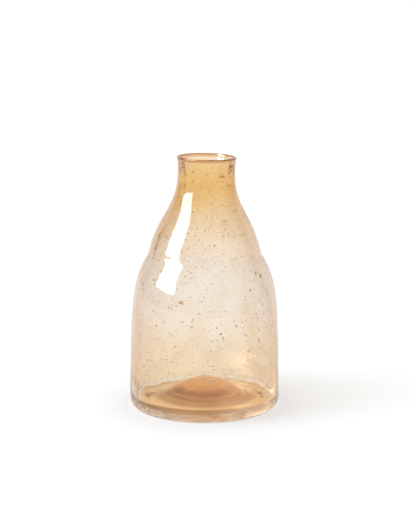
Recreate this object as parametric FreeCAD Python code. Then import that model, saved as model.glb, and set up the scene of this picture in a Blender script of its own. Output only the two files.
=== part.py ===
"""Seeded glass bud vase, free-blown in one piece, in millimetres.

The vase stands on the XY plane with its axis on +Z and its origin at the middle of the foot.
Its section is drawn as one closed outline, turned once round the axis, and cut where the
glassmaker's zones meet. Every zone is its own closed solid, and neighbours meet face to face.
"""

import FreeCAD
import Part
import math
import os

Vector = FreeCAD.Vector

# Overall sizes
HEIGHT = 150.0
BODY_RADIUS = 45.0

# Heights of the zones between the foot and the lip. The body's wall takes up the rest.
HEEL_HEIGHT = 18.0
LOWER_SHOULDER_HEIGHT = 30.0
WAIST_HEIGHT = 4.2
UPPER_SHOULDER_HEIGHT = 35.5
NECK_HEIGHT = 14.5
LIP_HEIGHT = 4.3

# Neck: a straight bore that a stem holder or a stopper can seat in, and the narrowest place of the
# outside, both counted down from the lip
BORE_RADIUS = 13.7
BORE_LENGTH = 5.0
BORE_TO_LIP = 12.0
NECK_WALL = 3.2
NECK_TO_LIP = 10.0

# Lip: a thin round fire-polished bead that the neck flares into
LIP_OVERHANG = 0.75
LIP_BEAD_RADIUS = 0.85
FLARE_ANGLE = 22.0
FLARE_HANDLES = (0.5, 0.2)
THROAT_HANDLE = 0.35
THROAT_SLANT = 0.25

# Creased waist, and how much wider the glass is under the crease
WAIST_RADIUS = 32.9
WAIST_WALL = 2.0
WAIST_FLARE = 1.4
CREASE_HANDLE = 0.3

# Body and its floor
BODY_WALL = 2.1
FLOOR_THICKNESS = 4.7
FLOOR_ROUND_HEIGHT = 3.2
FLOOR_ROUND_WIDTH = 3.2
FLOOR_FLAT_WIDTH = 3.7

# Heel and foot
HEEL_ROUND_HEIGHT = 5.5
HEEL_ROUND_WIDTH = 3.7
FOOT_FACE_WIDTH = 5.3
ROUND_HANDLE = 0.6

# Pushed-up middle of the base, outside and inside, with the shares of its radius that are crown
# and skirt, and the punt's last pole as shares of its radius and height
PUNT_HEIGHT = 10.5
PUNT_CROWN = 0.5
PUNT_SKIRT = (0.75, 0.15)
DOME_HEIGHT = 11.3
DOME_CROWN = 0.45
DOME_SKIRT = 0.4

# Scar of the pontil rod under the punt
PONTIL_RADIUS = 6.8
PONTIL_WIDTH = 2.2
PONTIL_DEPTH = 0.7

# Shape of the long curves: a handle's length along the axis, as a share of its own curve's length,
# and its drop in radius, as a share of its own curve's drop
BODY_HANDLES = (0.68, 0.19)
BODY_DROPS = (0.05, 0.10)
SHOULDER_HANDLES = (0.45, 0.44)
SHOULDER_DROP = 0.33

# Heights of the planes where the zones meet, counted from the foot
LIP_BASE_Z = HEIGHT - LIP_HEIGHT
NECK_BASE_Z = LIP_BASE_Z - NECK_HEIGHT
WAIST_TOP_Z = NECK_BASE_Z - UPPER_SHOULDER_HEIGHT
WAIST_BASE_Z = WAIST_TOP_Z - WAIST_HEIGHT
BODY_TOP_Z = WAIST_BASE_Z - LOWER_SHOULDER_HEIGHT

# Neck and lip
BORE_TOP_Z = HEIGHT - BORE_TO_LIP
BORE_BASE_Z = BORE_TOP_Z - BORE_LENGTH
NARROWEST_Z = HEIGHT - NECK_TO_LIP
NECK_RADIUS = BORE_RADIUS + NECK_WALL
LIP_RADIUS = NECK_RADIUS + LIP_OVERHANG
BEAD_MIDDLE = (LIP_RADIUS - LIP_BEAD_RADIUS, HEIGHT - LIP_BEAD_RADIUS)

# Foot and floor
FOOT_RADIUS = BODY_RADIUS - HEEL_ROUND_WIDTH
FOOT_INNER_RADIUS = FOOT_RADIUS - FOOT_FACE_WIDTH
INSIDE_RADIUS = BODY_RADIUS - BODY_WALL
FLOOR_RADIUS = INSIDE_RADIUS - FLOOR_ROUND_WIDTH
DOME_RADIUS = FLOOR_RADIUS - FLOOR_FLAT_WIDTH
DOME_TOP_Z = FLOOR_THICKNESS + DOME_HEIGHT
CUTTER_RADIUS = 2.0 * BODY_RADIUS


def point(radius, height):
    """A point of the section, which lies in the XZ half-plane."""
    return Vector(radius, 0.0, height)


def between(start, end, share):
    """The point that lies a share of the way from one (radius, height) point to another."""
    return (
        start[0] + share * (end[0] - start[0]),
        start[1] + share * (end[1] - start[1]),
    )


def curve(*poles):
    """A Bezier edge through the first and last pole, given as (radius, height)."""
    bezier = Part.BezierCurve()
    bezier.setPoles([point(*pole) for pole in poles])
    return bezier.toShape()


def line(start, end):
    """A straight edge between two (radius, height) points."""
    return Part.makeLine(point(*start), point(*end))


def rounded(start, corner, end):
    """A soft round that leaves the start and reaches the end along the sides of their corner."""
    return curve(
        start,
        between(start, corner, ROUND_HANDLE),
        between(end, corner, ROUND_HANDLE),
        end,
    )


def on_bead(angle):
    """A point of the lip's bead, at an angle in degrees above the outward direction."""
    turn = math.radians(angle)
    return (
        BEAD_MIDDLE[0] + LIP_BEAD_RADIUS * math.cos(turn),
        BEAD_MIDDLE[1] + LIP_BEAD_RADIUS * math.sin(turn),
    )


def wall_edges(bottom, waist_low, waist_high, neck):
    """The long curves of one side of the wall, upwards: the body, the crease and the shoulder."""
    body_length = waist_low[1] - bottom[1]
    body_drop = bottom[0] - waist_low[0]
    body_start = (
        bottom[0] - BODY_DROPS[0] * body_drop,
        bottom[1] + BODY_HANDLES[0] * body_length,
    )
    body_end = (
        bottom[0] - BODY_DROPS[1] * body_drop,
        waist_low[1] - BODY_HANDLES[1] * body_length,
    )
    shoulder_length = neck[1] - waist_high[1]
    shoulder_start = (
        waist_high[0] - SHOULDER_DROP * (waist_high[0] - neck[0]),
        waist_high[1] + SHOULDER_HANDLES[0] * shoulder_length,
    )
    shoulder_end = (neck[0], neck[1] - SHOULDER_HANDLES[1] * shoulder_length)

    # The crease's handles carry on the slopes of the curves that it joins.
    reach = CREASE_HANDLE * (waist_high[1] - waist_low[1])
    slope_low = (waist_low[0] - body_end[0]) / (waist_low[1] - body_end[1])
    slope_high = (shoulder_start[0] - waist_high[0]) / (shoulder_start[1] - waist_high[1])
    crease_low = (waist_low[0] + slope_low * reach, waist_low[1] + reach)
    crease_high = (waist_high[0] - slope_high * reach, waist_high[1] - reach)
    return [
        curve(bottom, body_start, body_end, waist_low),
        curve(waist_low, crease_low, crease_high, waist_high),
        curve(waist_high, shoulder_start, shoulder_end, neck),
    ]


def outer_edges():
    """The outside, from the foot's outer edge up to the lip and over its crown."""
    heel_top = (BODY_RADIUS, HEEL_ROUND_HEIGHT)
    heel = rounded((FOOT_RADIUS, 0.0), (BODY_RADIUS, 0.0), heel_top)
    neck = (NECK_RADIUS, NARROWEST_Z)
    walls = wall_edges(
        heel_top,
        (WAIST_RADIUS + WAIST_FLARE, WAIST_BASE_Z),
        (WAIST_RADIUS, WAIST_TOP_Z),
        neck,
    )
    flare_end = on_bead(-FLARE_ANGLE)
    flare_length = flare_end[1] - NARROWEST_Z
    flare_reach = FLARE_HANDLES[1] * flare_length
    flare_slope = math.tan(math.radians(FLARE_ANGLE))
    flare = curve(
        neck,
        (NECK_RADIUS, NARROWEST_Z + FLARE_HANDLES[0] * flare_length),
        (flare_end[0] - flare_slope * flare_reach, flare_end[1] - flare_reach),
        flare_end,
    )
    crown = Part.Arc(point(*flare_end), point(*on_bead(90.0)), point(*on_bead(180.0)))
    return [heel] + walls + [flare, crown.toShape()]


def inner_edges():
    """The inside, from the lip's crown down the bore and the walls to the middle of the floor."""
    lip_inner = on_bead(180.0)
    bore_top = (BORE_RADIUS, BORE_TOP_Z)
    bore_base = (BORE_RADIUS, BORE_BASE_Z)
    throat_length = lip_inner[1] - BORE_TOP_Z
    throat_reach = THROAT_HANDLE * throat_length
    throat_high = (lip_inner[0] - THROAT_SLANT * (lip_inner[0] - BORE_RADIUS), lip_inner[1] - throat_reach)
    throat_low = (BORE_RADIUS, BORE_TOP_Z + throat_reach)
    throat = [
        curve(lip_inner, throat_high, throat_low, bore_top),
        line(bore_top, bore_base),
    ]
    floor_edge = (INSIDE_RADIUS, FLOOR_THICKNESS + FLOOR_ROUND_HEIGHT)
    walls = wall_edges(
        floor_edge,
        (WAIST_RADIUS + WAIST_FLARE - WAIST_WALL, WAIST_BASE_Z),
        (WAIST_RADIUS - WAIST_WALL, WAIST_TOP_Z),
        bore_base,
    )
    floor_flat = (FLOOR_RADIUS, FLOOR_THICKNESS)
    dome_foot = (DOME_RADIUS, FLOOR_THICKNESS)
    floor = [
        rounded(floor_edge, (INSIDE_RADIUS, FLOOR_THICKNESS), floor_flat),
        line(floor_flat, dome_foot),
        curve(
            dome_foot,
            ((1.0 - DOME_SKIRT) * DOME_RADIUS, FLOOR_THICKNESS),
            (DOME_CROWN * DOME_RADIUS, DOME_TOP_Z),
            (0.0, DOME_TOP_Z),
        ),
    ]
    return throat + walls[::-1] + floor


def base_edges():
    """The axis, the pushed-up underside and the flat face that the vase stands on."""
    foot_inner = (FOOT_INNER_RADIUS, 0.0)
    return [
        line((0.0, DOME_TOP_Z), (0.0, PUNT_HEIGHT)),
        curve(
            (0.0, PUNT_HEIGHT),
            (PUNT_CROWN * FOOT_INNER_RADIUS, PUNT_HEIGHT),
            (PUNT_SKIRT[0] * FOOT_INNER_RADIUS, PUNT_SKIRT[1] * PUNT_HEIGHT),
            foot_inner,
        ),
        line(foot_inner, (FOOT_RADIUS, 0.0)),
    ]


def turned(edges):
    """The solid that a closed section sweeps in one turn about the axis."""
    face = Part.Face(Part.Wire(edges))
    solid = face.revolve(Vector(0, 0, 0), Vector(0, 0, 1), 360.0)
    if solid.Volume < 0:
        solid.reverse()
    return solid


def band(low, high):
    """A plain round block between two heights, wider than the vase."""
    return Part.makeCylinder(CUTTER_RADIUS, high - low, point(0.0, low))


def pontil_mark(base):
    """The ring of glass left where the pontil rod broke away, seated on the underside of the base."""
    bottom = point(0.0, PUNT_HEIGHT - PONTIL_DEPTH)
    outside = Part.makeCylinder(PONTIL_RADIUS, PUNT_HEIGHT, bottom)
    inside = Part.makeCylinder(PONTIL_RADIUS - PONTIL_WIDTH, PUNT_HEIGHT, bottom)
    ring = outside.cut(inside).cut(base)
    return min(ring.Solids, key=lambda solid: solid.BoundBox.ZMin)


def zones():
    """Every zone of the glass as its own solid, by name, from the lip down."""
    glass = turned(outer_edges() + inner_edges() + base_edges())
    heel_and_base = glass.common(band(0.0, HEEL_HEIGHT))
    base_core = Part.makeCylinder(FOOT_INNER_RADIUS, HEEL_HEIGHT)
    base = heel_and_base.common(base_core)
    return {
        "lip": glass.common(band(LIP_BASE_Z, HEIGHT + LIP_HEIGHT)),
        "neck": glass.common(band(NECK_BASE_Z, LIP_BASE_Z)),
        "upper_shoulder": glass.common(band(WAIST_TOP_Z, NECK_BASE_Z)),
        "waist": glass.common(band(WAIST_BASE_Z, WAIST_TOP_Z)),
        "lower_shoulder": glass.common(band(BODY_TOP_Z, WAIST_BASE_Z)),
        "body_wall": glass.common(band(HEEL_HEIGHT, BODY_TOP_Z)),
        "heel": heel_and_base.cut(base_core),
        "base": base,
        "pontil_mark": pontil_mark(base),
    }


def main():
    """Writes each zone to its own file and prints what it measures."""
    os.makedirs("parts", exist_ok=True)
    for name, shape in zones().items():
        solid = shape.Solids[0]
        solid.exportStep("parts/" + name + ".step")
        box = solid.BoundBox
        print(
            f"{name}: {len(shape.Solids)} solid, valid {solid.isValid()}, "
            f"{solid.Volume / 1000.0:.2f} cm3, z {box.ZMin:.2f} to {box.ZMax:.2f}, "
            f"radius {box.XMax:.2f}"
        )


main()
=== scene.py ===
"""The looks of a seeded, free-blown, amber glass bud vase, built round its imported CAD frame."""

import math

import bmesh
import bpy
import numpy as np
from bpy.props import FloatProperty, FloatVectorProperty, IntProperty, PointerProperty
from mathutils import Matrix, Vector, noise


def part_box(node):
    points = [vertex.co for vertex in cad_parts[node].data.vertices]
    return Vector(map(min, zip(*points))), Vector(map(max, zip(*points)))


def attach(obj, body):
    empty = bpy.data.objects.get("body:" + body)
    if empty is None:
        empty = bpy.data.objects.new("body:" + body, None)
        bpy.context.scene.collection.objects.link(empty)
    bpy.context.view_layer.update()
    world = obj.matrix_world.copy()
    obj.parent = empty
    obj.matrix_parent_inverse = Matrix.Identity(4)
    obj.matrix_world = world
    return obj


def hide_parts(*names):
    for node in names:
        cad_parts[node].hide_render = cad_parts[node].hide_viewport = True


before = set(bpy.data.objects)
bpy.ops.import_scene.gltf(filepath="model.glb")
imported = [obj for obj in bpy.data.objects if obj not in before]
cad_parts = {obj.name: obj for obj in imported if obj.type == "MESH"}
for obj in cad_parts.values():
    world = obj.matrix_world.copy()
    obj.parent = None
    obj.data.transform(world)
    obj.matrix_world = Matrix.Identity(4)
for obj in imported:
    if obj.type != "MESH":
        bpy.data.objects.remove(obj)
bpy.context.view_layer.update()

bl_info = {
    "name": "Seeded Glass Bud Vase",
    "version": (1, 0, 0),
    "blender": (4, 5, 0),
    "location": "View3D > Sidebar > Bud Vase",
    "description": "Blows a seeded amber glass bud vase and sets a pale studio round it",
    "category": "Object",
}

CAD_NODES = (
    "lip",
    "neck",
    "upper_shoulder",
    "waist",
    "lower_shoulder",
    "body_wall",
    "heel",
    "base",
    "pontil_mark",
)
MM = 0.001
SAME_HEIGHT = 0.005 * MM
WHITE = (1.0, 1.0, 1.0, 1.0)

# Sizes and shares of the curves that the boxes of the frame don't tell
NECK_WALL = 3.2 * MM
NARROWEST_TO_LIP = 10.0 * MM
BORE_TOP_TO_LIP = 12.0 * MM
BORE_BASE_TO_LIP = 17.0 * MM
SCAR_INNER_RADIUS = 4.6 * MM
FLARE_ANGLE = math.radians(22.0)
FLARE_HANDLES = (0.5, 0.2)
THROAT_HANDLE = 0.35
THROAT_SLANT = 0.25
BODY_HANDLES = (0.68, 0.19)
BODY_DROPS = (0.05, 0.10)
CREASE_HANDLE = 0.3
SHOULDER_HANDLES = (0.45, 0.44)
SHOULDER_DROP = 0.33
PUNT_CROWN = 0.50
PUNT_SKIRT = (0.75, 0.15)
DOME_SKIRT = 0.6
DOME_CROWN = 0.45
CORNER_HANDLE = 0.6

# The zones of the tint; the ring and pool zones hold painted shade. The seeds' walls take a painted
# shade in the first six, and are clear in the rest
TINT_ZONES = ("Neck", "Shoulder", "Body", "Foot", "Heel", "Floor", "Pool", "Ring", "Lip")
SEED_SHADE_ZONES = TINT_ZONES[:6]


def ring_radii(node, height):
    """Smallest and largest radius of a CAD node's corners at a height."""
    corners = [v.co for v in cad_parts[node].data.vertices]
    radii = [math.hypot(c.x, c.y) for c in corners if abs(c.z - height) < SAME_HEIGHT]
    return min(radii), max(radii)


# What the frame says of the glass
LIP_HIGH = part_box("lip")[1]
WAIST_LOW, WAIST_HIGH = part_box("waist")
HEEL_LOW, HEEL_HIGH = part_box("heel")
BASE_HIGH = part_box("base")[1]
SCAR_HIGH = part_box("pontil_mark")[1]
INNER_LOW_WAIST, OUTER_LOW_WAIST = ring_radii("waist", WAIST_LOW.z)
INNER_HIGH_WAIST, OUTER_HIGH_WAIST = ring_radii("waist", WAIST_HIGH.z)
BORE_RADIUS = min(math.hypot(v.co.x, v.co.y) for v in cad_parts["neck"].data.vertices)
INSIDE_RADIUS = ring_radii("heel", HEEL_HIGH.z)[0]
FOOT_INNER_RADIUS, FOOT_RADIUS = ring_radii("heel", HEEL_LOW.z)


def length(name, description, default):
    """A property that holds a length in metres."""
    return FloatProperty(
        name=name,
        description=description,
        default=default,
        precision=5,
        unit="LENGTH",
        subtype="DISTANCE",
    )


def share(name, description, default):
    """A property that holds a plain share or strength."""
    return FloatProperty(name=name, description=description, default=default, precision=3)


def angle(name, description, degrees):
    """A property that holds an angle."""
    return FloatProperty(
        name=name,
        description=description,
        default=math.radians(degrees),
        unit="ROTATION",
        subtype="ANGLE",
    )


def colour(name, description, default):
    """A property that holds a linear colour."""
    return FloatVectorProperty(
        name=name, description=description, default=default, size=3, min=0.0, max=1.0, subtype="COLOR"
    )


class VaseShape(bpy.types.PropertyGroup):
    """Sizes of the blown glass, and how far the hand-made form strays from the round."""

    height: length("Height", "From the foot to the top of the lip", LIP_HIGH.z)
    body_radius: length("Body radius", "Outside radius over the heel", HEEL_HIGH.x)
    lip_radius: length("Lip radius", "Outside radius of the lip's bead", LIP_HIGH.x)
    bead_radius: length("Bead radius", "Radius of the rounded lip's section", 0.85 * MM)
    neck_radius: length(
        "Neck radius", "Outside radius of the neck at its narrowest", BORE_RADIUS + NECK_WALL
    )
    bore_top: length(
        "Bore top", "Height of the top of the straight bore", LIP_HIGH.z - BORE_TOP_TO_LIP
    )
    bore_base: length(
        "Bore base", "Height of the bottom of the straight bore", LIP_HIGH.z - BORE_BASE_TO_LIP
    )
    narrowest: length(
        "Narrowest", "Height at which the outside is narrowest", LIP_HIGH.z - NARROWEST_TO_LIP
    )
    floor_thickness: length("Floor thickness", "Glass under the flat of the floor", 4.7 * MM)
    floor_round: length("Floor round", "Height and width of the round at the floor's edge", 3.2 * MM)
    heel_round: length("Heel round", "Height of the rounded heel", 5.5 * MM)
    punt_height: length("Punt height", "How far the underside is pushed up", 10.5 * MM)
    dome_radius: length("Dome radius", "Radius of the dome on the floor", 36.0 * MM)
    dome_top: length("Dome top", "Height of the dome's top over the foot", BASE_HIGH.z)
    lean: length("Lean", "How far the neck leans to one side", 1.15 * MM)
    rim_tilt: length("Rim tilt", "Height difference across the tilted lip", 0.8 * MM)
    outer_wave: length("Outer wave", "Depth of the slow waves on the outside", 0.22 * MM)
    inner_wave: length("Inner wave", "Depth of the slow waves on the inside", 0.30 * MM)
    crease_wander: length("Crease wander", "How far the waist's crease climbs and falls", 0.5 * MM)
    floor_ripple: length("Floor ripple", "Depth of the rings left in the floor", 0.12 * MM)


class VaseSeeds(bpy.types.PropertyGroup):
    """The gas bubbles that were trapped in the glass."""

    wall_count: IntProperty(name="Wall seeds", description="Small seeds in the wall", default=2000)
    base_count: IntProperty(name="Base seeds", description="Small seeds in the base", default=60)
    smallest: length("Smallest", "Diameter of the smallest seeds", 0.32 * MM)
    largest: length("Largest", "Diameter of the largest scattered seeds", 0.75 * MM)
    random_start: IntProperty(name="Random start", description="Start of the random draws", default=7)


class VaseGlass(bpy.types.PropertyGroup):
    """Colours and finish of the glass."""

    # The edge, ring, pool and seed colours below are painted shade
    neck_tint: colour("Neck tint", "Deep amber of the neck", (0.81, 0.52, 0.18))
    shoulder_tint: colour("Shoulder tint", "Amber of the shoulder", (0.885, 0.71, 0.49))
    body_tint: colour("Body tint", "Palest glass, in the middle of the body", (0.86, 0.795, 0.71))
    foot_tint: colour("Foot tint", "Warm glass low on the body", (0.885, 0.72, 0.49))
    heel_tint: colour("Heel tint", "Pale glass of the heel and the foot", (1.0, 0.97, 0.92))
    floor_tint: colour("Floor tint", "Amber of the floor and its dome", (0.82, 0.43, 0.12))
    # Painted shade: the outside darkens where it turns away from the view, at the silhouette
    edge_shade_tint: colour(
        "Edge tint", "Deeper colour of the outside where it turns away", (0.54, 0.31, 0.17)
    )
    # Painted shade: the dark crescent on the front of the floor beside the dome, not amber pooled there
    pool_tint: colour("Pool tint", "Dark amber pooled on one side of the punt", (0.40, 0.25, 0.13))
    # Painted shade: the dark line where the floor meets the wall, on the front of the outside
    ring_tint: colour("Ring tint", "Dark line where the floor meets the wall", (0.34, 0.18, 0.08))
    lip_tint: colour("Lip tint", "Brown edge of the lip", (0.72, 0.54, 0.40))
    # Painted shade on the seeds: a dark outline where a seed's wall turns away from the view, and a
    # darker amber on its walls that makes it show as a speck
    seed_edge_shade: colour("Seed edge", "Dark outline of a seed", (0.16, 0.07, 0.025))
    seed_shade_tint: colour("Seed tint", "Film on the walls of the seeds", (0.80, 0.56, 0.32))


class VaseStage(bpy.types.PropertyGroup):
    """The pale studio round the vase."""

    white: share("White", "Brightness of the plain backdrop", 1.02)
    sky: share("Sky", "Share of the floor's light that comes from all round", 0.70)
    floor_glow: share("Floor glow", "Share of the floor's light that the vase doesn't shade", 0.27)
    under_light: share("Under light", "Brightness of the floor's glow under the foot", 0.50)
    floor_albedo: share("Floor albedo", "Share of the light that the floor gives back", 0.8)
    softbox_shine: share("Softbox shine", "Brightness of the softbox in reflections", 16.0)
    softbox_inside: share("Softbox inside", "Brightness of the softbox in inner reflections", 1.4)
    softbox_light: share("Softbox light", "Brightness of the softbox as it lights the floor", 1.6)
    softbox_distance: length("Softbox distance", "From the vase's axis to the softbox", 0.90)
    softbox_width: length("Softbox width", "Width of the softbox", 0.64)
    softbox_height: length("Softbox height", "Height of the softbox", 1.05)
    softbox_lift: length("Softbox lift", "Height of the softbox's middle", 0.84)
    softbox_azimuth: angle("Softbox azimuth", "Turn of the softbox to the left of the camera", 74.0)
    camera_distance: length("Camera distance", "From the vase's axis to the camera", 0.8533)
    camera_height: length("Camera height", "Height of the camera over the floor", 0.256)
    camera_side: length("Camera side", "How far right of the vase the camera stands", 2.1 * MM)
    camera_pitch: angle("Camera pitch", "How far the camera looks down", 11.24)
    lens: share("Lens", "Focal length of the camera, in millimetres", 100.1)


# ---------------------------------------------------------------- section


def between(start, end, part):
    """The point that lies a part of the way from one (radius, height) point to another."""
    return (start[0] + part * (end[0] - start[0]), start[1] + part * (end[1] - start[1]))


def curve(step, *poles):
    """Points about a step apart on a cubic curve, without its last point."""
    poles = np.array(poles)
    count = max(3, math.ceil(np.linalg.norm(np.diff(poles, axis=0), axis=1).sum() / step))
    t = np.arange(count)[:, None] / count
    a, b, c, d = poles
    return a * (1 - t) ** 3 + 3 * b * t * (1 - t) ** 2 + 3 * c * t**2 * (1 - t) + d * t**3


def line(step, start, end):
    """Points about a step apart on a straight line, without its last point."""
    return curve(step, start, between(start, end, 1 / 3), between(start, end, 2 / 3), end)


def rounded(step, start, corner, end):
    """Points on a soft round between two sides of a corner."""
    near_start = between(start, corner, CORNER_HANDLE)
    near_end = between(end, corner, CORNER_HANDLE)
    return curve(step, start, near_start, near_end, end)


def wall(bottom, waist_low, waist_high, neck):
    """The long curves of one side of the wall, upwards: the body, the crease and the shoulder."""
    body_length = waist_low[1] - bottom[1]
    body_drop = bottom[0] - waist_low[0]
    body_start = (
        bottom[0] - BODY_DROPS[0] * body_drop,
        bottom[1] + BODY_HANDLES[0] * body_length,
    )
    body_end = (
        bottom[0] - BODY_DROPS[1] * body_drop,
        waist_low[1] - BODY_HANDLES[1] * body_length,
    )
    shoulder_length = neck[1] - waist_high[1]
    shoulder_start = (
        waist_high[0] - SHOULDER_DROP * (waist_high[0] - neck[0]),
        waist_high[1] + SHOULDER_HANDLES[0] * shoulder_length,
    )
    shoulder_end = (neck[0], neck[1] - SHOULDER_HANDLES[1] * shoulder_length)
    reach = CREASE_HANDLE * (waist_high[1] - waist_low[1])
    slope_low = (waist_low[0] - body_end[0]) / (waist_low[1] - body_end[1])
    slope_high = (shoulder_start[0] - waist_high[0]) / (shoulder_start[1] - waist_high[1])
    crease_low = (waist_low[0] + slope_low * reach, waist_low[1] + reach)
    crease_high = (waist_high[0] - slope_high * reach, waist_high[1] - reach)
    return np.vstack(
        [
            curve(1.15 * MM, bottom, body_start, body_end, waist_low),
            curve(0.45 * MM, waist_low, crease_low, crease_high, waist_high),
            curve(1.05 * MM, waist_high, shoulder_start, shoulder_end, neck),
        ]
    )


def outside_section(s):
    """From the middle of the punt, over the foot and up the outside to the lip's crown."""
    narrowest = (s.neck_radius, s.narrowest)
    heel_top = (s.body_radius, s.heel_round)
    bead = (s.lip_radius - s.bead_radius, s.height - s.bead_radius)
    flare_end = (
        bead[0] + s.bead_radius * math.cos(FLARE_ANGLE),
        bead[1] - s.bead_radius * math.sin(FLARE_ANGLE),
    )
    flare_length = flare_end[1] - narrowest[1]
    flare_reach = FLARE_HANDLES[1] * flare_length
    turns = np.linspace(-FLARE_ANGLE, math.pi, 15)[:-1]
    crown = np.column_stack([np.cos(turns), np.sin(turns)]) * s.bead_radius + bead
    return np.vstack(
        [
            curve(
                1.2 * MM,
                (0.0, s.punt_height),
                (PUNT_CROWN * FOOT_INNER_RADIUS, s.punt_height),
                (PUNT_SKIRT[0] * FOOT_INNER_RADIUS, PUNT_SKIRT[1] * s.punt_height),
                (FOOT_INNER_RADIUS, 0.0),
            ),
            line(1.4 * MM, (FOOT_INNER_RADIUS, 0.0), (FOOT_RADIUS, 0.0)),
            rounded(0.6 * MM, (FOOT_RADIUS, 0.0), (s.body_radius, 0.0), heel_top),
            wall(
                heel_top,
                (OUTER_LOW_WAIST, WAIST_LOW.z),
                (OUTER_HIGH_WAIST, WAIST_HIGH.z),
                narrowest,
            ),
            curve(
                0.8 * MM,
                narrowest,
                (s.neck_radius, narrowest[1] + FLARE_HANDLES[0] * flare_length),
                (flare_end[0] - flare_reach * math.tan(FLARE_ANGLE), flare_end[1] - flare_reach),
                flare_end,
            ),
            crown,
        ]
    )


def inside_section(s):
    """From the lip's inner edge down the bore and the wall to the middle of the floor."""
    bead = (s.lip_radius - 2.0 * s.bead_radius, s.height - s.bead_radius)
    flare_length = bead[1] - s.bore_top
    flare_high = (
        bead[0] - THROAT_SLANT * (bead[0] - BORE_RADIUS),
        bead[1] - THROAT_HANDLE * flare_length,
    )
    flare_low = (BORE_RADIUS, s.bore_top + THROAT_HANDLE * flare_length)
    dome_top = (0.0, s.dome_top)
    floor_edge = (INSIDE_RADIUS, s.floor_thickness + s.floor_round)
    floor_flat = (INSIDE_RADIUS - s.floor_round, s.floor_thickness)
    dome_foot = (s.dome_radius, s.floor_thickness)
    walls = wall(
        floor_edge,
        (INNER_LOW_WAIST, WAIST_LOW.z),
        (INNER_HIGH_WAIST, WAIST_HIGH.z),
        (BORE_RADIUS, s.bore_base),
    )
    return np.vstack(
        [
            curve(0.6 * MM, bead, flare_high, flare_low, (BORE_RADIUS, s.bore_top)),
            line(1.2 * MM, (BORE_RADIUS, s.bore_top), (BORE_RADIUS, s.bore_base)),
            [(BORE_RADIUS, s.bore_base)],
            walls[:0:-1],
            rounded(0.7 * MM, floor_edge, (INSIDE_RADIUS, s.floor_thickness), floor_flat),
            line(1.4 * MM, floor_flat, dome_foot),
            curve(
                1.2 * MM,
                dome_foot,
                (DOME_SKIRT * s.dome_radius, s.floor_thickness),
                (DOME_CROWN * s.dome_radius, dome_top[1]),
                dome_top,
            ),
            [dome_top],
        ]
    )


# ---------------------------------------------------------------- hand-blown form


def fade(value, low, high):
    """0 under low, 1 over high, and smooth between them."""
    t = min(1.0, max(0.0, (value - low) / (high - low)))
    return t * t * (3.0 - 2.0 * t)


def wave(turn, height, around, along, place):
    """A slow wave from about -1 to 1 that closes on itself round the vase."""
    spot = Vector((around * math.cos(turn), around * math.sin(turn), height * along))
    return 2.0 * noise.noise(spot + Vector((place, 1.7 * place, 0.0)))


def outer_push(s, turn, height):
    """How far the outside stands out from the round at a place."""
    slow = wave(turn, height, 0.9, 18.0, 3.1) + 0.45 * wave(turn, height, 2.2, 45.0, 9.4)
    return s.outer_wave * slow * fade(height, 0.5 * MM, 14.0 * MM)


def inner_push(s, turn, height):
    """How far the inside stands out from the round at a place: cords run up the wall."""
    slow = wave(turn, height, 1.3, 16.0, 14.2) + 0.5 * wave(turn, height, 3.6, 20.0, 21.8)
    followed = 0.6 * outer_push(s, turn, height)
    return followed + s.inner_wave * slow * fade(height, 5.0 * MM, 20.0 * MM)


def floor_push(s, radius, turn):
    """Rings and slow waves in the floor, at a radius."""
    spacing = 5.2 * MM
    rings = math.sin(2.0 * math.pi * radius / spacing + 1.5 * wave(turn, radius, 0.8, 30.0, 33.0))
    slow = wave(turn, radius, 1.5, 60.0, 41.0)
    return s.floor_ripple * (rings + slow) * (1.0 - fade(radius, 30.0 * MM, 38.0 * MM))


def scar_push(radius, turn):
    """The broken ring of the pontil scar, which stands down from the punt."""
    width = 0.5 * (SCAR_HIGH.x - SCAR_INNER_RADIUS)
    off = (radius - SCAR_HIGH.x + width) / (width * 1.15)
    rough = 0.7 + 0.5 * wave(turn, radius, 4.0, 900.0, 52.0)
    depth = 0.62 * MM
    return depth * rough * fade(1.0 - off * off, 0.0, 0.7)


def settled(s, point):
    """A point of the round vase, moved as the whole neck leans and the lip tilts."""
    rise = fade(point.z, 0.55 * s.height, s.height)
    at_lip = fade(point.z, 0.86 * s.height, s.height)
    wander = fade(point.z, 70.0 * MM, 92.0 * MM) * (1.0 - fade(point.z, 96.0 * MM, 118.0 * MM))
    turn = math.atan2(point.y, point.x)
    lifted = s.crease_wander * wander * wave(turn, 0.0, 0.8, 1.0, 61.0)
    tilt = -0.5 * s.rim_tilt * at_lip * point.x / s.lip_radius
    return Vector((point.x + s.lean * rise, point.y, point.z + tilt + lifted))


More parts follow.
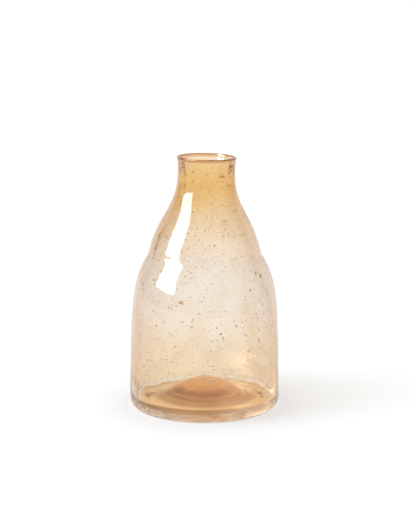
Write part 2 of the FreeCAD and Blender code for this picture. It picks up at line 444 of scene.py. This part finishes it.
def blown_glass_mesh(s, around):
    """The whole skin of the glass, outside and inside, as one closed mesh."""
    outside = outside_section(s)
    inside = inside_section(s)
    section = np.vstack([outside, inside])
    turns = [2.0 * math.pi * k / around for k in range(around)]
    mesh = bmesh.new()
    inner_skin = mesh.verts.layers.float.new("inner_skin")
    rings = []
    last = len(section) - 1
    for index, (radius, height) in enumerate(section):
        is_inside = index >= len(outside)
        ring = []
        for turn in turns if 0 < index < last else turns[:1]:
            r, z = radius, height
            if is_inside and height < s.dome_top + SAME_HEIGHT:
                z += floor_push(s, radius, turn)
            on_punt = not is_inside and height <= s.punt_height and radius < FOOT_INNER_RADIUS
            if on_punt:
                z -= scar_push(radius, turn)
            if radius > 0.0:
                r += inner_push(s, turn, height) if is_inside else outer_push(s, turn, height)
            place = settled(s, Vector((r * math.cos(turn), r * math.sin(turn), z)))
            corner = mesh.verts.new(place)
            corner[inner_skin] = float(is_inside)
            ring.append(corner)
        rings.append(ring)
    for low, high in zip(rings, rings[1:]):
        for k in range(around):
            following = (k + 1) % around
            if len(low) == 1:
                corners = (low[0], high[following], high[k])
            elif len(high) == 1:
                corners = (low[k], low[following], high[0])
            else:
                corners = (low[k], low[following], high[following], high[k])
            mesh.faces.new(corners).smooth = True
    bmesh.ops.recalc_face_normals(mesh, faces=mesh.faces)
    if mesh.calc_volume(signed=True) < 0.0:
        bmesh.ops.reverse_faces(mesh, faces=mesh.faces)
    return mesh


# ---------------------------------------------------------------- seeds


def seed_shell(mesh, ball, place, along, outward, sizes):
    """Adds one seed to the mesh: a small hollow whose skin faces into itself."""
    side = along.cross(outward).normalized()
    turned = Matrix((side * sizes[0], outward * sizes[1], along * sizes[2])).transposed()
    corners = [mesh.verts.new(place + turned @ v) for v in ball[0]]
    for face in ball[1]:
        made = mesh.faces.new([corners[k] for k in face])
        made.smooth = True
        made.material_index = 1


def ball_of(subdivisions):
    """Corners and inward faces of a round ball of radius 1."""
    ball = bmesh.new()
    bmesh.ops.create_icosphere(ball, subdivisions=subdivisions, radius=1.0)
    corners = [v.co.copy() for v in ball.verts]
    faces = [[v.index for v in reversed(f.verts)] for f in ball.faces]
    ball.free()
    return corners, faces


def section_radius(section, height):
    """Radius of a side of the wall at a height."""
    order = np.argsort(section[:, 1])
    return float(np.interp(height, section[order, 1], section[order, 0]))


def wall_seed(mesh, ball, s, sections, turn, height, sizes, depth, lean):
    """A seed in the wall, at a turn and a height, with its length along the wall."""
    outer = section_radius(sections[0], height)
    inner = section_radius(sections[1], height)
    step = 1.0 * MM
    above = section_radius(sections[0], height + step)
    below = section_radius(sections[0], height - step)
    slope = (above - below) / (2 * step)
    outer += outer_push(s, turn, height)
    inner += inner_push(s, turn, height)
    outward = Vector((math.cos(turn), math.sin(turn), 0.0))
    along = (Vector((0.0, 0.0, 1.0)) + slope * outward).normalized()
    tangent = Vector((-math.sin(turn), math.cos(turn), 0.0))
    normal = tangent.cross(along).normalized()
    along = (along + lean * tangent).normalized()
    thick = (outer - inner) * abs(normal.dot(outward))
    half = min(0.5 * sizes[0], 0.3 * thick)
    room = 0.5 * thick - half - 0.12 * thick
    place = outward * (0.5 * (outer + inner) + depth * room) + Vector((0.0, 0.0, height))
    seed_shell(mesh, ball, settled(s, place), along, normal, (0.5 * sizes[0], half, 0.5 * sizes[1]))


LOWEST_SEED = 14.0 * MM
SEED_FREE_LIP = 8.0 * MM
COARSE_SEED = 0.55 * MM
BASE_SEED_REACH = 34.0 * MM

# Large seeds that stand out: turn from the camera's side in degrees, height, width and length in
# millimetres, and slant
LARGE_SEEDS = (
    (53.0, 84.5, 1.0, 2.6, 0.55),
    (59.0, 82.5, 1.2, 2.6, 0.50),
    (41.0, 76.0, 0.9, 1.6, 0.30),
    (-40.0, 55.5, 1.0, 1.2, 0.00),
    (47.0, 46.0, 0.8, 2.6, -0.10),
    (25.0, 57.0, 1.0, 1.5, 0.10),
    (62.0, 30.0, 0.9, 1.7, 0.40),
    (165.0, 38.0, 1.1, 1.6, 0.10),
    (-25.0, 36.0, 0.8, 0.9, 0.00),
    (-128.0, 70.0, 1.0, 2.0, 0.20),
    (118.0, 62.0, 1.0, 1.9, -0.20),
    (-66.0, 77.0, 0.8, 1.9, -0.30),
    (-160.0, 52.0, 1.2, 2.4, 0.10),
    (96.0, 44.0, 0.9, 1.5, 0.20),
    (-95.0, 26.0, 1.0, 1.7, 0.00),
    (140.0, 105.0, 0.7, 1.6, 0.00),
)


def scatter_seeds(mesh, s, seeds):
    """Fills the wall and the base with seeds, denser towards the foot."""
    draw = np.random.default_rng(seeds.random_start)
    spread = seeds.largest - seeds.smallest
    outside, inside = outside_section(s), inside_section(s)
    outer_wall = outside[outside[:, 1] > s.heel_round]
    outer_wall = outer_wall[: int(np.argmax(outer_wall[:, 1]))]
    inner_wall = inside[inside[:, 1] > s.floor_thickness + 0.5 * s.floor_round]
    sections = (outer_wall, inner_wall)
    coarse, small, large = ball_of(1), ball_of(2), ball_of(3)
    for _ in range(seeds.wall_count):
        height = LOWEST_SEED + (s.height - LOWEST_SEED - SEED_FREE_LIP) * draw.random() ** 1.35
        turn = 2.0 * math.pi * draw.random()
        width = seeds.smallest + spread * draw.random() ** 4
        sizes = (width, width * (1.0 + 0.9 * draw.random()))
        ball = coarse if width < COARSE_SEED else small
        depth = draw.uniform(-1.0, 1.0)
        wall_seed(mesh, ball, s, sections, turn, height, sizes, depth, draw.normal(0.0, 0.2))
    for degrees, height, width, long, slant in LARGE_SEEDS:
        turn = math.radians(degrees - 90.0)
        sizes = (width * MM, long * MM)
        wall_seed(mesh, large, s, sections, turn, height * MM, sizes, 0.0, slant)
    dome_height = s.dome_top - s.floor_thickness
    for _ in range(seeds.base_count):
        radius = BASE_SEED_REACH * math.sqrt(draw.random())
        turn = 2.0 * math.pi * draw.random()
        low = s.punt_height * (1.0 - fade(radius, 8.0 * MM, FOOT_INNER_RADIUS)) + 0.5 * MM
        high = s.floor_thickness + dome_height * (1.0 - fade(radius, 0.0, s.dome_radius))
        height = low + (high - low) * draw.uniform(0.25, 0.7)
        half = 0.5 * (seeds.smallest + spread * draw.random() ** 3)
        place = Vector((radius * math.cos(turn), radius * math.sin(turn), height))
        upward, sideways = Vector((0, 0, 1)), Vector((1, 0, 0))
        seed_shell(mesh, small, place, upward, sideways, (half, half, 0.6 * half))


# ---------------------------------------------------------------- node helpers


def add_node(tree, kind, **values):
    """A new node with its settings and the defaults of its inputs."""
    node = tree.nodes.new(kind)
    for name, value in values.items():
        if hasattr(node, name):
            setattr(node, name, value)
        else:
            node.inputs[name.replace("_", " ")].default_value = value
    return node


def calculate(tree, operation, first, second=0.0, clamp=False):
    """A Math node on two sockets or plain numbers, and its result."""
    node = tree.nodes.new("ShaderNodeMath")
    node.operation = operation
    node.use_clamp = clamp
    for socket, value in zip(node.inputs, (first, second)):
        if isinstance(value, bpy.types.NodeSocket):
            tree.links.new(value, socket)
        else:
            socket.default_value = value
    return node.outputs[0]


def map_range(tree, value, low, high, out_low=0.0, out_high=1.0):
    """A smooth Map Range node and its result."""
    node = tree.nodes.new("ShaderNodeMapRange")
    node.interpolation_type = "SMOOTHSTEP"
    tree.links.new(value, node.inputs["Value"])
    node.inputs["From Min"].default_value = low
    node.inputs["From Max"].default_value = high
    node.inputs["To Min"].default_value = out_low
    node.inputs["To Max"].default_value = out_high
    return node.outputs["Result"]


def mix_colours(tree, factor, first, second):
    """A Mix node on two colours, given as sockets or plain colours, and its result."""
    node = tree.nodes.new("ShaderNodeMix")
    node.data_type = "RGBA"
    for name, value in (("Factor_Float", factor), ("A_Color", first), ("B_Color", second)):
        socket = next(i for i in node.inputs if i.identifier == name)
        if isinstance(value, bpy.types.NodeSocket):
            tree.links.new(value, socket)
        else:
            socket.default_value = value
    return next(o for o in node.outputs if o.identifier == "Result_Color")


def multiply_colours(tree, first, second):
    """A Mix node that multiplies two colours, and its result."""
    product = mix_colours(tree, 1.0, first, second)
    product.node.blend_type = "MULTIPLY"
    return product


def tone_and_shade(tree, base, mask, tone):
    """A colour that a tone deepens where a mask says so."""
    # Used for the glass's own tones and for painted shade alike
    return multiply_colours(tree, base, mix_colours(tree, mask, WHITE, tone))


def band(tree, value, rising, falling):
    """1 between two soft limits and 0 outside them. Each limit is where its slope starts and ends."""
    entered = map_range(tree, value, *rising)
    left = map_range(tree, value, *falling, 1.0, 0.0)
    return calculate(tree, "MULTIPLY", entered, left)


def length_of(tree, vector):
    """The length of a vector."""
    node = add_node(tree, "ShaderNodeVectorMath", operation="LENGTH")
    tree.links.new(vector, node.inputs[0])
    return node.outputs["Value"]


def noise_at(tree, vector, **values):
    """A noise texture at a place, and its plain value."""
    node = add_node(tree, "ShaderNodeTexNoise", **values)
    tree.links.new(vector, node.inputs["Vector"])
    return node.outputs[0]


def new_group(name, inputs, outputs):
    """An empty node group with named sockets, given as (kind, name, default)."""
    group = bpy.data.node_groups.new(name, "ShaderNodeTree")
    for kind, title, default in inputs:
        socket = group.interface.new_socket(name=title, in_out="INPUT", socket_type=kind)
        socket.default_value = default
    for kind, title in outputs:
        group.interface.new_socket(name=title, in_out="OUTPUT", socket_type=kind)
    return group, group.nodes.new("NodeGroupInput"), group.nodes.new("NodeGroupOutput")


def tint_and_shade_group():
    """Amber of the glass, with slow uneven patches.

    The outside goes by height, with a pale heel, a painted shade line at the floor and a brown lip. The
    inside is clear but for the lip and the amber floor, with a crescent of painted shade beside its
    dome. Edge Share says how much of the painted edge shade a place takes: none inside and at the heel.
    """
    group, given, result = new_group(
        "Amber Tint and Shade",
        [("NodeSocketColor", zone, WHITE) for zone in TINT_ZONES]
        + [("NodeSocketFloat", "Inner Skin", 0.0), ("NodeSocketFloat", "Unevenness", 0.5)],
        [("NodeSocketColor", "Color"), ("NodeSocketFloat", "Edge Share")],
    )
    place = group.nodes.new("ShaderNodeTexCoord").outputs["Object"]
    parts = group.nodes.new("ShaderNodeSeparateXYZ")
    group.links.new(place, parts.inputs[0])
    across, depth, rise = (parts.outputs[axis] for axis in "XYZ")
    flat = add_node(group, "ShaderNodeVectorMath", operation="MULTIPLY")
    group.links.new(place, flat.inputs[0])
    flat.inputs[1].default_value = (1.0, 1.0, 0.0)
    radius = length_of(group, flat.outputs[0])

    # Outside, from the heel up, each zone fading into the next between two heights
    sway = noise_at(group, place, Scale=28.0, Detail=3.0, Roughness=0.5)
    sway = calculate(group, "SUBTRACT", sway, 0.5)
    sway = calculate(group, "MULTIPLY", sway, given.outputs["Unevenness"])
    height = calculate(group, "ADD", rise, calculate(group, "MULTIPLY", sway, 0.06))
    outer = given.outputs["Heel"]
    for zone, value, low, high in (
        ("Foot", rise, 0.0035, 0.0060),
        ("Body", height, 0.020, 0.066),
        ("Shoulder", height, 0.078, 0.112),
        ("Neck", height, 0.108, 0.136),
    ):
        outer = mix_colours(group, map_range(group, value, low, high), outer, given.outputs[zone])
    throat = map_range(group, rise, 0.1385, 0.1425, 0.0, 0.3)
    outer = mix_colours(group, throat, outer, given.outputs["Shoulder"])

    # Painted shade: the dark line where the floor meets the wall, strongest at the front left, on the
    # side that faces the camera
    ring = band(group, rise, (0.0052, 0.0060), (0.0080, 0.0090))
    ring = calculate(group, "MULTIPLY", ring, map_range(group, across, 0.0, 0.044, 1.0, 0.3))
    ring = calculate(group, "MULTIPLY", ring, map_range(group, depth, -0.034, -0.008, 1.0, 0.0))
    outer = tone_and_shade(group, outer, ring, given.outputs["Ring"])
    lip = map_range(group, rise, 0.1470, 0.1492)
    outer = tone_and_shade(group, outer, lip, given.outputs["Lip"])
    mottle = noise_at(group, place, Scale=75.0, Detail=4.0, Roughness=0.6)
    outer = tone_and_shade(group, outer, map_range(group, mottle, 0.42, 0.70), (0.95, 0.88, 0.79, 1))

    # Inside
    off_floor = map_range(group, radius, 0.0385, 0.0415)
    over_floor = map_range(group, rise, 0.014, 0.020)
    off_floor = calculate(group, "MAXIMUM", off_floor, over_floor)
    inner = mix_colours(group, off_floor, given.outputs["Floor"], WHITE)
    inner = tone_and_shade(group, inner, lip, given.outputs["Lip"])
    # Painted shade: a dark crescent on the front of the floor beside the dome, on the side that faces
    # the camera
    pool_shade = band(group, radius, (0.0135, 0.0170), (0.0275, 0.0325))
    pool_shade = calculate(group, "MULTIPLY", pool_shade, map_range(group, depth, -0.006, 0.006, 1.0, 0.0))
    pool_shade = calculate(group, "MULTIPLY", pool_shade, map_range(group, rise, 0.016, 0.020, 1.0, 0.0))
    inner = tone_and_shade(group, inner, pool_shade, given.outputs["Pool"])

    tint = mix_colours(group, given.outputs["Inner Skin"], outer, inner)
    outside = calculate(group, "SUBTRACT", 1.0, given.outputs["Inner Skin"])
    over_heel = map_range(group, rise, 0.006, 0.017)
    group.links.new(tint, result.inputs["Color"])
    edge_share = calculate(group, "MULTIPLY", outside, over_heel)
    group.links.new(edge_share, result.inputs["Edge Share"])
    return group


def wave_group():
    """Slow swells and fine orange peel on fire-polished glass, as a height."""
    group, given, result = new_group(
        "Fire Polish",
        [("NodeSocketFloat", "Swell", 1.0), ("NodeSocketFloat", "Peel", 0.2)],
        [("NodeSocketFloat", "Height")],
    )
    place = group.nodes.new("ShaderNodeTexCoord")
    stretch = add_node(group, "ShaderNodeMapping")
    stretch.inputs["Scale"].default_value = (1.0, 1.0, 0.45)
    group.links.new(place.outputs["Object"], stretch.inputs["Vector"])
    swell = noise_at(group, stretch.outputs[0], Scale=55.0, Detail=1.0)
    swell = calculate(group, "MULTIPLY", swell, given.outputs["Swell"])
    peel = noise_at(group, stretch.outputs[0], Scale=420.0, Detail=1.0)
    peel = calculate(group, "MULTIPLY", peel, given.outputs["Peel"])
    height = calculate(group, "ADD", swell, peel)
    group.links.new(height, result.inputs["Height"])
    return group


def wear_group():
    """A mask of fine scuffs on what stands on the surface."""
    group, given, result = new_group(
        "Foot Wear",
        [
            ("NodeSocketFloat", "Reach", 0.6 * MM),
            ("NodeSocketFloat", "Clean", 0.0),
            ("NodeSocketFloat", "Scuffed", 0.3),
        ],
        [("NodeSocketFloat", "Roughness")],
    )
    place = group.nodes.new("ShaderNodeTexCoord")
    parts = group.nodes.new("ShaderNodeSeparateXYZ")
    group.links.new(place.outputs["Object"], parts.inputs[0])
    near = calculate(group, "DIVIDE", parts.outputs["Z"], given.outputs["Reach"])
    near = calculate(group, "SUBTRACT", 1.0, near, clamp=True)
    scuffs = noise_at(group, place.outputs["Object"], Scale=900.0, Detail=4.0)
    scuffs = map_range(group, scuffs, 0.35, 0.7)
    mask = calculate(group, "MULTIPLY", near, scuffs, clamp=True)
    span = calculate(group, "SUBTRACT", given.outputs["Scuffed"], given.outputs["Clean"])
    rough = calculate(group, "ADD", given.outputs["Clean"], calculate(group, "MULTIPLY", mask, span))
    group.links.new(rough, result.inputs["Roughness"])
    return group


def clear(material):
    """Turns nodes on and empties the tree."""
    material.use_nodes = True
    material.node_tree.nodes.clear()
    return material.node_tree


def glass_material(name, tints, edge, groups, with_volume):
    """Clear amber glass, deeper at its edges.

    The skin carries the uneven part of the tint, and the volume the even part; its deeper edges are
    painted shade, where the outside turns away from the view. The tints are those of the zones, in their
    order. Seeds are hollow, so the painted shade on their walls has no volume.
    """
    material = bpy.data.materials.new(name)
    tree = clear(material)
    out = tree.nodes.new("ShaderNodeOutputMaterial")
    shader = add_node(tree, "ShaderNodeBsdfPrincipled", Roughness=0.0, IOR=1.5, Metallic=0.0)
    shader.inputs["Transmission Weight"].default_value = 1.0
    tint = tree.nodes.new("ShaderNodeGroup")
    tint.node_tree = groups["tint"]
    for zone, value in zip(TINT_ZONES, tints):
        tint.inputs[zone].default_value = (*value, 1.0)
    side = add_node(tree, "ShaderNodeAttribute", attribute_type="GEOMETRY")
    side.attribute_name = "inner_skin"
    tree.links.new(side.outputs["Fac"], tint.inputs["Inner Skin"])
    polish = tree.nodes.new("ShaderNodeGroup")
    polish.node_tree = groups["wave"]
    wear = tree.nodes.new("ShaderNodeGroup")
    wear.node_tree = groups["wear"]
    bump = add_node(tree, "ShaderNodeBump", Strength=0.4, Distance=0.6 * MM)
    # Painted shade at the edges: the base colour darkens as the surface turns away from the view
    facing = add_node(tree, "ShaderNodeLayerWeight", Blend=0.5)
    turned = calculate(tree, "POWER", facing.outputs["Facing"], 1.15)
    turned = calculate(tree, "MULTIPLY", turned, tint.outputs["Edge Share"])
    tint_and_edge_shade = tone_and_shade(tree, tint.outputs["Color"], turned, (*edge, 1.0))
    tree.links.new(tint_and_edge_shade, shader.inputs["Base Color"])
    tree.links.new(wear.outputs["Roughness"], shader.inputs["Roughness"])
    tree.links.new(polish.outputs["Height"], bump.inputs["Height"])
    tree.links.new(bump.outputs["Normal"], shader.inputs["Normal"])
    tree.links.new(shader.outputs[0], out.inputs["Surface"])
    if with_volume:
        volume = tree.nodes.new("ShaderNodeVolumeAbsorption")
        volume.inputs["Color"].default_value = (0.717, 0.45, 0.167, 1.0)
        volume.inputs["Density"].default_value = 10.0
        tree.links.new(volume.outputs[0], out.inputs["Volume"])
    return material


def grey(value):
    """A plain grey, or a white brighter than paper."""
    return (value, value, value, 1.0)


def floor_material(stage):
    """Plain matt white paper with a faint tooth, which glows a little far off and under the foot."""
    material = bpy.data.materials.new("white_paper")
    tree = clear(material)
    out = tree.nodes.new("ShaderNodeOutputMaterial")
    shader = add_node(tree, "ShaderNodeBsdfPrincipled", Roughness=0.9)
    shader.inputs["Specular IOR Level"].default_value = 0.0
    place = tree.nodes.new("ShaderNodeTexCoord")
    tooth = noise_at(tree, place.outputs["Object"], Scale=220.0, Detail=4.0)
    paper = grey(stage.floor_albedo)
    hollows = grey(0.985 * stage.floor_albedo)
    tree.links.new(mix_colours(tree, tooth, paper, hollows), shader.inputs["Base Color"])
    far = length_of(tree, place.outputs["Object"])
    far_glow = stage.white + 0.02 - stage.sky
    fill = map_range(tree, far, 0.10, 1.20, stage.floor_glow, far_glow)
    under = map_range(tree, far, 0.036, 0.048, stage.under_light, 0.0)
    fill = calculate(tree, "ADD", fill, under)
    shader.inputs["Emission Color"].default_value = WHITE
    tree.links.new(fill, shader.inputs["Emission Strength"])
    tree.links.new(shader.outputs[0], out.inputs["Surface"])
    return material


# ---------------------------------------------------------------- studio


def studio_world(stage):
    """A white room with a bright softbox. Only reflections find its darker gaps, which draw edges."""
    world = bpy.data.worlds.new("studio")
    bpy.context.scene.world = world
    world.use_nodes = True
    tree = world.node_tree
    tree.nodes.clear()
    out = tree.nodes.new("ShaderNodeOutputWorld")
    light = tree.nodes.new("ShaderNodeBackground")
    path = tree.nodes.new("ShaderNodeLightPath")
    place = tree.nodes.new("ShaderNodeTexCoord")
    parts = tree.nodes.new("ShaderNodeSeparateXYZ")
    tree.links.new(place.outputs["Generated"], parts.inputs[0])
    left_turn = calculate(
        tree,
        "ARCTAN2",
        calculate(tree, "MULTIPLY", parts.outputs["X"], -1.0),
        calculate(tree, "MULTIPLY", parts.outputs["Y"], -1.0),
    )
    to_degrees = 180.0 / math.pi
    turn = calculate(tree, "MULTIPLY", left_turn, to_degrees)
    rise = calculate(tree, "ARCSINE", parts.outputs["Z"])
    rise = calculate(tree, "MULTIPLY", rise, to_degrees)

    def zone(base, turns, rises, tone, soft=2.0):
        """The room with a tone between two turns to the left and two rises, in degrees."""
        masks = [
            band(tree, value, (low - soft, low + soft), (high - soft, high + soft))
            for value, (low, high) in ((turn, turns), (rise, rises))
        ]
        return mix_colours(tree, calculate(tree, "MULTIPLY", *masks), base, tone)

    all_rises, under_ceiling = (-91.0, 91.0), (-91.0, 60.0)
    box_turns, box_rises = (54.5, 92.0), (12.5, 66.0)
    room = zone(WHITE, (-122.0, 126.0), all_rises, (0.55, 0.57, 0.60, 1.0))
    room = zone(room, (93.0, 126.0), under_ceiling, (0.30, 0.29, 0.28, 1.0))
    room = zone(room, (-122.0, -100.0), under_ceiling, (0.36, 0.35, 0.34, 1.0))
    room = zone(room, (-63.0, -34.0), (-5.0, 60.0), WHITE)
    room = zone(room, box_turns, box_rises, grey(stage.softbox_shine), 0.6)
    white = grey(stage.white)
    inside = zone(white, box_turns, box_rises, grey(stage.softbox_inside), 0.6)
    entered = calculate(tree, "MINIMUM", path.outputs["Transmission Depth"], 1.0)
    glossy = calculate(tree, "MINIMUM", path.outputs["Glossy Depth"], 1.0)
    reflected = calculate(tree, "SUBTRACT", path.outputs["Glossy Depth"], entered, clamp=True)
    diffused = calculate(tree, "MINIMUM", path.outputs["Diffuse Depth"], 1.0)
    sky = tuple(stage.sky / stage.floor_albedo * c for c in (1.02, 1.0, 0.975)) + (1.0,)
    tone = mix_colours(tree, glossy, white, inside)
    tone = mix_colours(tree, reflected, tone, room)
    tone = mix_colours(tree, diffused, tone, sky)
    tree.links.new(tone, light.inputs["Color"])
    tree.links.new(light.outputs[0], out.inputs["Surface"])
    world.cycles.sampling_method = "NONE"
    return world


def softbox(stage):
    """A tall softbox to the left. It lights the floor, and reflections find it in the room."""
    data = bpy.data.lights.new("softbox", "AREA")
    data.shape = "RECTANGLE"
    data.color = (0.90, 1.0, 1.12)
    data.size = stage.softbox_width
    data.size_y = stage.softbox_height
    data.energy = 4.0 * data.size * data.size_y * stage.softbox_light
    box = bpy.data.objects.new("softbox", data)
    bpy.context.scene.collection.objects.link(box)
    toward = Vector((-math.sin(stage.softbox_azimuth), -math.cos(stage.softbox_azimuth), 0.0))
    box.location = toward * stage.softbox_distance + Vector((0.0, 0.0, stage.softbox_lift))
    aim = Vector((0.0, 0.0, 0.5 * stage.softbox_lift)) - box.location
    box.rotation_euler = aim.to_track_quat("-Z", "Y").to_euler()
    box.visible_camera = False
    box.visible_glossy = False
    box.visible_transmission = False
    return box


def camera(stage):
    """The camera, a little above the lip."""
    data = bpy.data.cameras.new("camera")
    data.lens = stage.lens
    data.sensor_width = 36.0
    data.clip_start = 0.01
    data.clip_end = 50.0
    eye = bpy.data.objects.new("camera", data)
    bpy.context.scene.collection.objects.link(eye)
    eye.location = (stage.camera_side, -stage.camera_distance, stage.camera_height)
    eye.rotation_euler = (0.5 * math.pi - stage.camera_pitch, 0.0, 0.0)
    bpy.context.scene.camera = eye
    return eye


def floor_sheet(stage):
    """A wide floor just under the foot, in one piece with the backdrop."""
    mesh = bmesh.new()
    bmesh.ops.create_grid(mesh, x_segments=24, y_segments=24, size=6.0)
    data = bpy.data.meshes.new("floor")
    mesh.to_mesh(data)
    mesh.free()
    sheet = bpy.data.objects.new("floor", data)
    sheet.location.z = -0.02 * MM
    bpy.context.scene.collection.objects.link(sheet)
    data.materials.append(floor_material(stage))
    return sheet


# ---------------------------------------------------------------- operators


class VASE_OT_stage(bpy.types.Operator):
    """Set the floor, the light and the camera"""

    bl_idname = "vase.stage"
    bl_label = "Set the Stage"

    def execute(self, context):
        stage = context.scene.vase_stage
        floor_sheet(stage)
        studio_world(stage)
        softbox(stage)
        camera(stage)
        context.scene.view_settings.view_transform = "Standard"
        context.scene.cycles.max_bounces = 48
        context.scene.cycles.transmission_bounces = 48
        context.scene.cycles.glossy_bounces = 48
        context.scene.cycles.diffuse_bounces = 8
        return {"FINISHED"}


class VASE_OT_glass(bpy.types.Operator):
    """Blow the vase, with its seeds, as one piece of glass"""

    bl_idname = "vase.glass"
    bl_label = "Blow the Glass"

    def execute(self, context):
        shape = context.scene.vase_shape
        glass = context.scene.vase_glass
        mesh = blown_glass_mesh(shape, 144)
        scatter_seeds(mesh, shape, context.scene.vase_seeds)
        data = bpy.data.meshes.new("blown_glass")
        mesh.to_mesh(data)
        mesh.free()
        vase = bpy.data.objects.new("blown_glass", data)
        context.scene.collection.objects.link(vase)
        groups = {"tint": tint_and_shade_group(), "wave": wave_group(), "wear": wear_group()}
        skin = [getattr(glass, zone.lower() + "_tint") for zone in TINT_ZONES]
        # The seeds' walls take painted shade: a darker amber in the first six zones, and a dark outline
        # at their edges
        seed_shades = [glass.seed_shade_tint if zone in SEED_SHADE_ZONES else WHITE[:3] for zone in TINT_ZONES]
        amber = glass_material("amber_glass", skin, glass.edge_shade_tint, groups, True)
        seed_painted_shade = glass_material("seed_painted_shade", seed_shades, glass.seed_edge_shade, groups, False)
        data.materials.append(amber)
        data.materials.append(seed_painted_shade)
        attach(vase, "root")
        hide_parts(*CAD_NODES)
        return {"FINISHED"}


class VASE_PT_panel(bpy.types.Panel):
    """Lists the steps that make the vase"""

    bl_label = "Bud Vase"
    bl_idname = "VASE_PT_panel"
    bl_space_type = "VIEW_3D"
    bl_region_type = "UI"
    bl_category = "Bud Vase"

    def draw(self, context):
        scene = context.scene
        for group in (scene.vase_shape, scene.vase_seeds, scene.vase_glass, scene.vase_stage):
            for name in group.bl_rna.properties.keys():
                if name not in ("rna_type", "name"):
                    self.layout.prop(group, name)
        self.layout.operator("vase.glass")
        self.layout.operator("vase.stage")


CLASSES = (VaseShape, VaseSeeds, VaseGlass, VaseStage, VASE_OT_stage, VASE_OT_glass, VASE_PT_panel)


def register():
    for made in CLASSES:
        bpy.utils.register_class(made)
    bpy.types.Scene.vase_shape = PointerProperty(type=VaseShape)
    bpy.types.Scene.vase_seeds = PointerProperty(type=VaseSeeds)
    bpy.types.Scene.vase_glass = PointerProperty(type=VaseGlass)
    bpy.types.Scene.vase_stage = PointerProperty(type=VaseStage)


def unregister():
    for name in ("vase_shape", "vase_seeds", "vase_glass", "vase_stage"):
        delattr(bpy.types.Scene, name)
    for made in reversed(CLASSES):
        bpy.utils.unregister_class(made)


def main():
    register()
    bpy.ops.vase.stage()
    bpy.ops.vase.glass()


if __name__ == "__main__":
    main()
